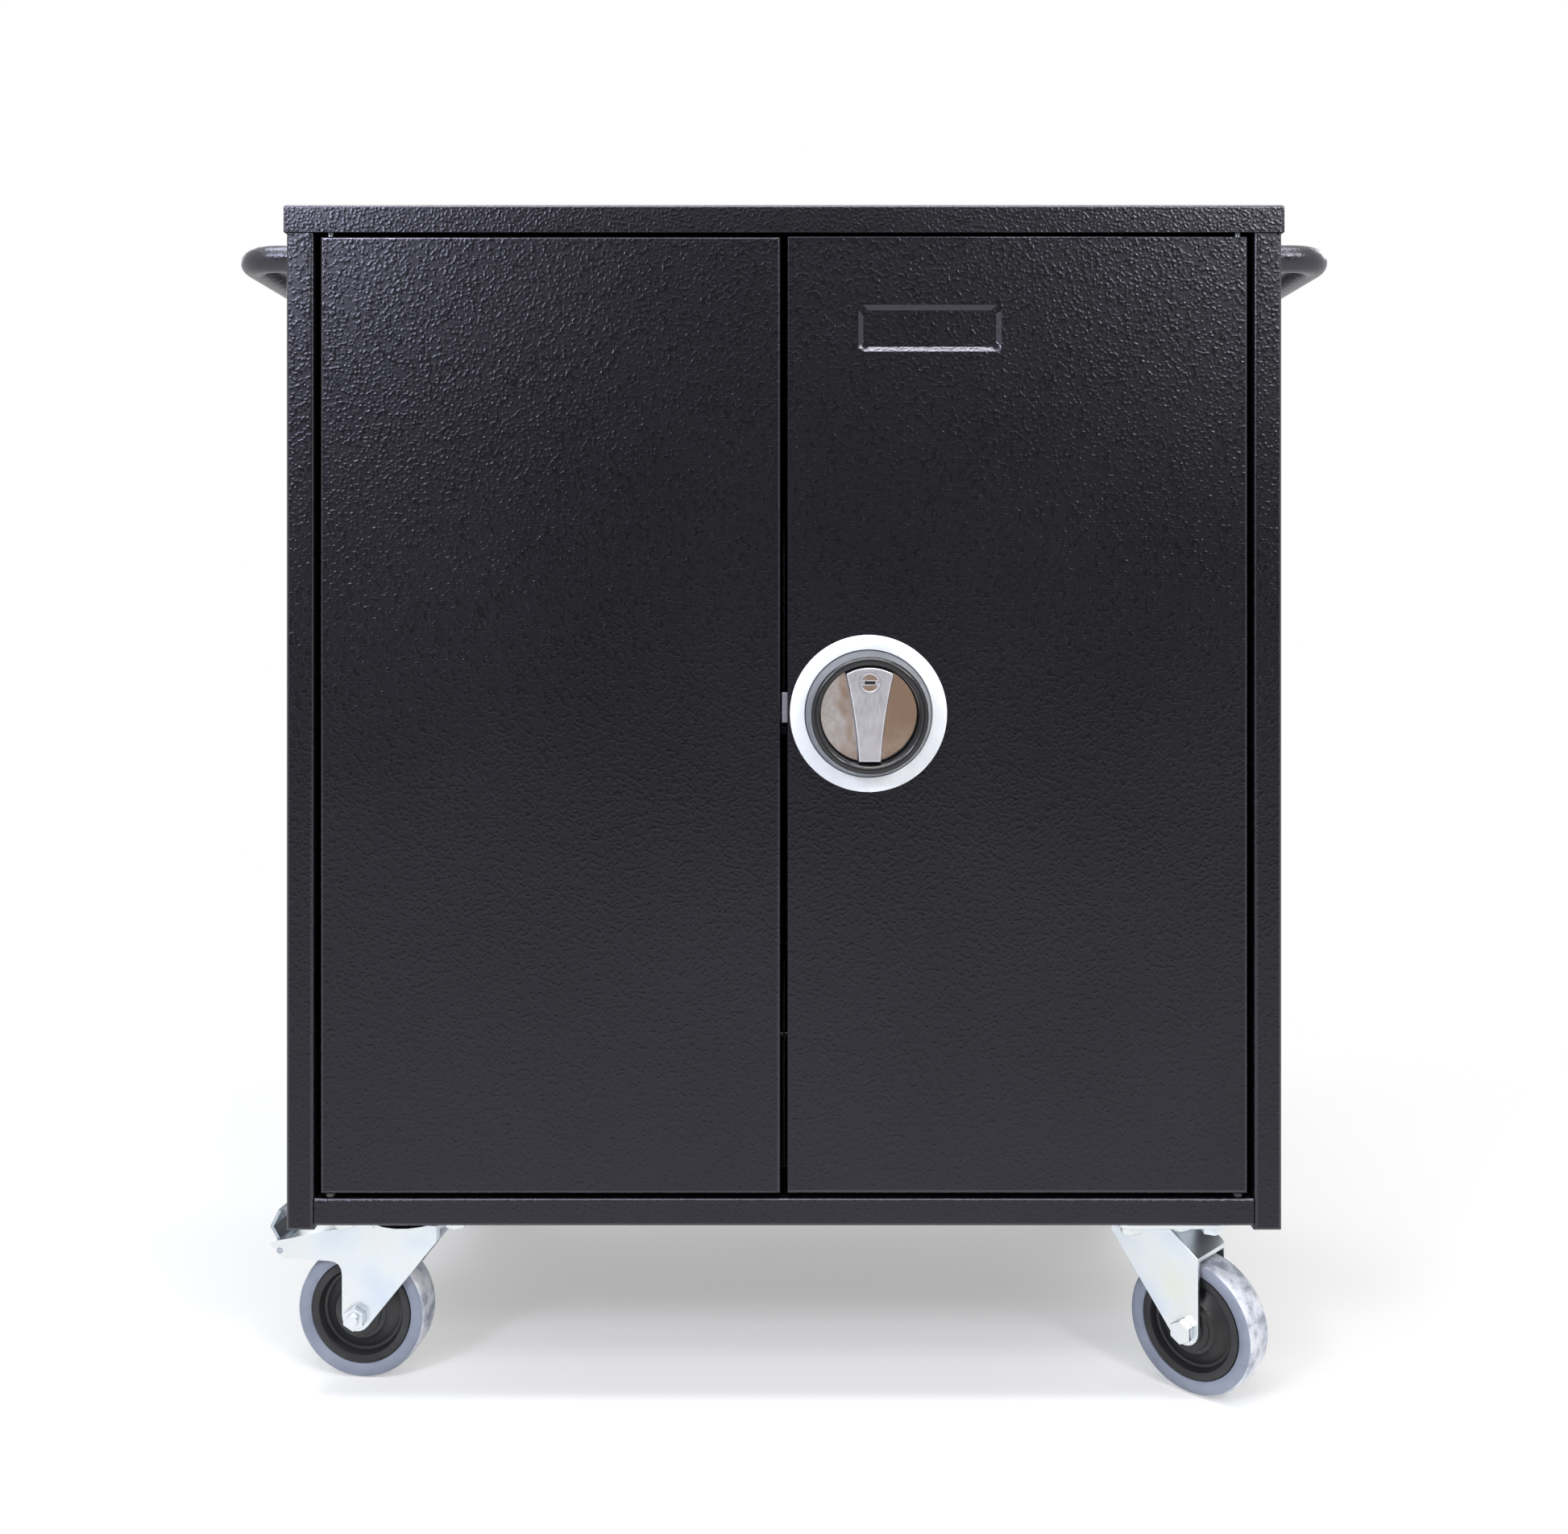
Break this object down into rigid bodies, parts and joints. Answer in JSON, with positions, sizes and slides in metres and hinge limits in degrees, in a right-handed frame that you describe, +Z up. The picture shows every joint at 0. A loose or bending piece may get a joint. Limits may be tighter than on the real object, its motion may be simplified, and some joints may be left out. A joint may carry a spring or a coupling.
{
  "type": "laptop charging cart",
  "caption": "Steel laptop charging cart with hinged doors, a key lock, upright device bays with outlet strips, side push handles and swivel casters with brakes.",
  "frame": {"origin": "on the floor, under the middle of the cart", "axes": "+Z up; the doors face -Y; +X runs to the right as seen from the front"},
  "size_m": [1.021, 0.5996, 1.0843],
  "materials": {
    "powder_coat": "near-black textured powder coat on folded sheet steel",
    "grey_plastic": "grey moulded plastic",
    "black_plastic": "black moulded plastic",
    "timer_case": "dark painted steel case",
    "hinge_zinc": "zinc-plated steel pins",
    "pale_ring": "pale satin ring",
    "polished_chrome": "polished",
    "satin_steel": "satin cast metal",
    "lock_zinc": "zinc-plated steel",
    "caster_zinc": "bright zinc-plated pressed steel",
    "dark_steel": "dark oiled steel",
    "hub_plastic": "black moulded wheel centre",
    "tyre_rubber": "blue-grey rubber"
  },
  "bodies": {
    "cabinet": {"lid": "powder_coat", "left_side_panel": "powder_coat", "right_side_panel": "powder_coat", "base_tray": "powder_coat", "header_rail": "powder_coat", "middle_shelf": "powder_coat", "back_panel": "powder_coat", "lower_divider_rack": "grey_plastic", "upper_divider_rack": "grey_plastic", "cable_trunking": "grey_plastic", "lower_outlet_strip": "black_plastic", "upper_outlet_strip": "black_plastic", "charge_timer": "timer_case", "mains_inlet": "black_plastic", "left_push_handle": "powder_coat", "right_push_handle": "powder_coat", "left_upper_hinge_pin": "hinge_zinc", "left_lower_hinge_pin": "hinge_zinc", "right_upper_hinge_pin": "hinge_zinc", "right_lower_hinge_pin": "hinge_zinc", "front_left_caster_plate": "caster_zinc", "front_right_caster_plate": "caster_zinc", "rear_right_caster_plate": "caster_zinc", "rear_left_caster_plate": "caster_zinc", "front_left_swivel_bearing": "dark_steel", "front_right_swivel_bearing": "dark_steel", "rear_right_swivel_bearing": "dark_steel", "rear_left_swivel_bearing": "dark_steel"},
    "left_door": {"left_door": "powder_coat"},
    "right_door": {"right_door": "powder_coat", "lock_rosette": "pale_ring", "lock_collar": "black_plastic", "lock_case": "lock_zinc"},
    "lock_lever": {"lock_disc": "polished_chrome", "lock_lever": "satin_steel", "lock_cam": "lock_zinc"},
    "key_cylinder": {"key_cylinder": "polished_chrome"},
    "upper_lock_rod": {"upper_lock_rod": "lock_zinc"},
    "lower_lock_rod": {"lower_lock_rod": "lock_zinc"},
    "latch_tongue": {"latch_tongue": "lock_zinc"},
    "front_left_swivel": {"front_left_fork": "caster_zinc", "front_left_axle_bolt": "caster_zinc"},
    "front_left_wheel": {"front_left_wheel_hub": "hub_plastic", "front_left_tyre": "tyre_rubber"},
    "front_left_brake": {"front_left_brake_pedal": "dark_steel"},
    "front_right_swivel": {"front_right_fork": "caster_zinc", "front_right_axle_bolt": "caster_zinc"},
    "front_right_wheel": {"front_right_wheel_hub": "hub_plastic", "front_right_tyre": "tyre_rubber"},
    "rear_right_swivel": {"rear_right_fork": "caster_zinc", "rear_right_axle_bolt": "caster_zinc"},
    "rear_right_wheel": {"rear_right_wheel_hub": "hub_plastic", "rear_right_tyre": "tyre_rubber"},
    "rear_right_brake": {"rear_right_brake_pedal": "dark_steel"},
    "rear_left_swivel": {"rear_left_fork": "caster_zinc", "rear_left_axle_bolt": "caster_zinc"},
    "rear_left_wheel": {"rear_left_wheel_hub": "hub_plastic", "rear_left_tyre": "tyre_rubber"}
  },
  "joints": [
    {"name": "left_door_swing", "type": "hinge", "parent": "cabinet", "child": "left_door", "pos_m": [-0.41, -0.268, 0.62626], "axis": [0, 0, -1], "range_deg": [0, 110]},
    {"name": "right_door_swing", "type": "hinge", "parent": "cabinet", "child": "right_door", "pos_m": [0.41, -0.268, 0.62626], "axis": [0, 0, 1], "range_deg": [0, 110]},
    {"name": "lock_lever_turn", "type": "hinge", "parent": "right_door", "child": "lock_lever", "pos_m": [0.076, -0.275, 0.62626], "axis": [0, 1, 0], "range_deg": [0, 90]},
    {"name": "key_turn", "type": "hinge", "parent": "lock_lever", "child": "key_cylinder", "pos_m": [0.076, -0.295, 0.65526], "axis": [0, 1, 0], "range_deg": [0, 90]},
    {"name": "upper_rod_slide", "type": "slide", "parent": "right_door", "child": "upper_lock_rod", "axis": [0, 0, 1], "range_m": [0, 0.012]},
    {"name": "lower_rod_slide", "type": "slide", "parent": "right_door", "child": "lower_lock_rod", "axis": [0, 0, -1], "range_m": [0, 0.012]},
    {"name": "latch_tongue_slide", "type": "slide", "parent": "right_door", "child": "latch_tongue", "axis": [-1, 0, 0], "range_m": [0, 0.008]},
    {"name": "front_left_swivel_turn", "type": "hinge", "parent": "cabinet", "child": "front_left_swivel", "pos_m": [-0.3525, -0.207, 0.14996], "axis": [0, 0, 1], "continuous": true},
    {"name": "front_left_wheel_spin", "type": "hinge", "parent": "front_left_swivel", "child": "front_left_wheel", "pos_m": [-0.39409, -0.20116, 0.06196], "axis": [0.1392, 0.9903, 0], "continuous": true},
    {"name": "front_left_brake_press", "type": "hinge", "parent": "front_left_swivel", "child": "front_left_brake", "pos_m": [-0.46836, -0.19072, 0.11897], "axis": [-0.1392, -0.9903, 0], "range_deg": [0, 18]},
    {"name": "front_right_swivel_turn", "type": "hinge", "parent": "cabinet", "child": "front_right_swivel", "pos_m": [0.3525, -0.207, 0.14996], "axis": [0, 0, 1], "continuous": true},
    {"name": "front_right_wheel_spin", "type": "hinge", "parent": "front_right_swivel", "child": "front_right_wheel", "pos_m": [0.38322, -0.23564, 0.06196], "axis": [-0.682, -0.7314, 0], "continuous": true},
    {"name": "rear_right_swivel_turn", "type": "hinge", "parent": "cabinet", "child": "rear_right_swivel", "pos_m": [0.3525, 0.207, 0.14996], "axis": [0, 0, 1], "continuous": true},
    {"name": "rear_right_wheel_spin", "type": "hinge", "parent": "rear_right_swivel", "child": "rear_right_wheel", "pos_m": [0.39409, 0.20116, 0.06196], "axis": [-0.1392, -0.9903, 0], "continuous": true},
    {"name": "rear_right_brake_press", "type": "hinge", "parent": "rear_right_swivel", "child": "rear_right_brake", "pos_m": [0.46836, 0.19072, 0.11897], "axis": [0.1392, 0.9903, 0], "range_deg": [0, 18]},
    {"name": "rear_left_swivel_turn", "type": "hinge", "parent": "cabinet", "child": "rear_left_swivel", "pos_m": [-0.3525, 0.207, 0.14996], "axis": [0, 0, 1], "continuous": true},
    {"name": "rear_left_wheel_spin", "type": "hinge", "parent": "rear_left_swivel", "child": "rear_left_wheel", "pos_m": [-0.3806, 0.23821, 0.06196], "axis": [0.7431, 0.6691, 0], "continuous": true}
  ],
  "couplings": [
    {"joint": "upper_rod_slide", "follows": "lock_lever_turn", "m_per_rad": 0.007639},
    {"joint": "lower_rod_slide", "follows": "lock_lever_turn", "m_per_rad": 0.007639},
    {"joint": "latch_tongue_slide", "follows": "lock_lever_turn", "m_per_rad": 0.005093}
  ]
}
